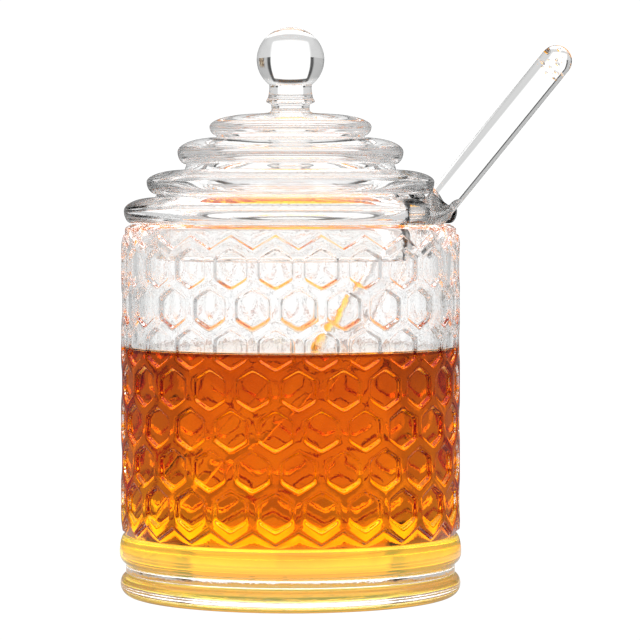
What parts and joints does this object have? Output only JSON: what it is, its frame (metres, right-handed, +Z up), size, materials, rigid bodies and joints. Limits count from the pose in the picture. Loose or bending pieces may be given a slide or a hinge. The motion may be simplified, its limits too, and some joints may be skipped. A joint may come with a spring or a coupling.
{
  "type": "glass honey jar",
  "caption": "Round pressed glass jar with a honeycomb relief, stepped lid with a ball knob, and a straight glass dipper handle leaning out of the lid's notch, filled with honey.",
  "frame": {"origin": "centre of the flat underside of the jar", "axes": "+Z up along the jar's axis; the dipper handle leans out towards +X and a little towards -Y, where the picture's camera stands"},
  "size_m": [0.1051, 0.0804, 0.1338],
  "materials": {
    "clear_glass": "polished",
    "honey": "glossy"
  },
  "bodies": {
    "root": {"jar": "clear_glass", "lid": "clear_glass", "dipper_handle": "clear_glass", "honey": "honey"}
  },
  "joints": []
}
